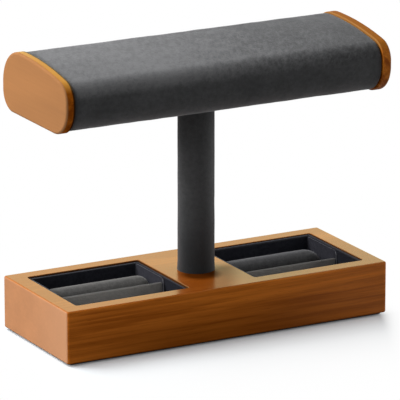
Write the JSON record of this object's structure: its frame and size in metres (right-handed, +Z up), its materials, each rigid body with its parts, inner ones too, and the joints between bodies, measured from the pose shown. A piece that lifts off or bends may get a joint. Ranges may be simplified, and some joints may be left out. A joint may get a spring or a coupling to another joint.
{
  "type": "watch stand",
  "caption": "T-shaped watch stand: padded suede bar with wooden end caps on a covered column, standing on a wooden base with lift-out ring trays.",
  "frame": {"origin": "on the floor under the felt, on the axis of the column", "axes": "+X along the bar, -Y to the front, where the bar's crown falls, +Z up"},
  "size_m": [0.203, 0.0811, 0.1641],
  "materials": {
    "wood": "satin lacquer",
    "core_wood": "planed",
    "suede": "brushed suede cloth",
    "lining": "suede cloth",
    "velvet": "short-pile velvet",
    "felt": "pressed felt",
    "foam": "open-cell foam",
    "board": "dyed grey board",
    "steel": "zinc plated",
    "brass": "turned"
  },
  "bodies": {
    "stand": {"base_block": "wood", "base_felt": "felt", "column_core": "core_wood", "column_sleeve": "suede", "tie_bolt": "steel", "bolt_washer": "steel", "bar_insert": "brass", "bar_core": "core_wood", "bar_padding": "foam", "bar_cover": "suede", "left_end_cap": "wood", "right_end_cap": "wood", "cap_dowels": "core_wood"},
    "left_tray": {"left_tray_box": "board", "left_tray_lining": "lining", "left_ring_cheeks": "velvet", "left_ring_divider": "velvet", "left_roll_cover": "velvet", "left_roll_foam": "foam"},
    "right_tray": {"right_tray_box": "board", "right_tray_lining": "lining", "right_ring_cheeks": "velvet", "right_ring_divider": "velvet", "right_roll_cover": "velvet", "right_roll_foam": "foam"}
  },
  "joints": [
    {"name": "left_tray_lift", "type": "slide", "parent": "stand", "child": "left_tray", "axis": [0, 0, 1], "range_m": [0, 0.03]},
    {"name": "right_tray_lift", "type": "slide", "parent": "stand", "child": "right_tray", "axis": [0, 0, 1], "range_m": [0, 0.03]}
  ]
}
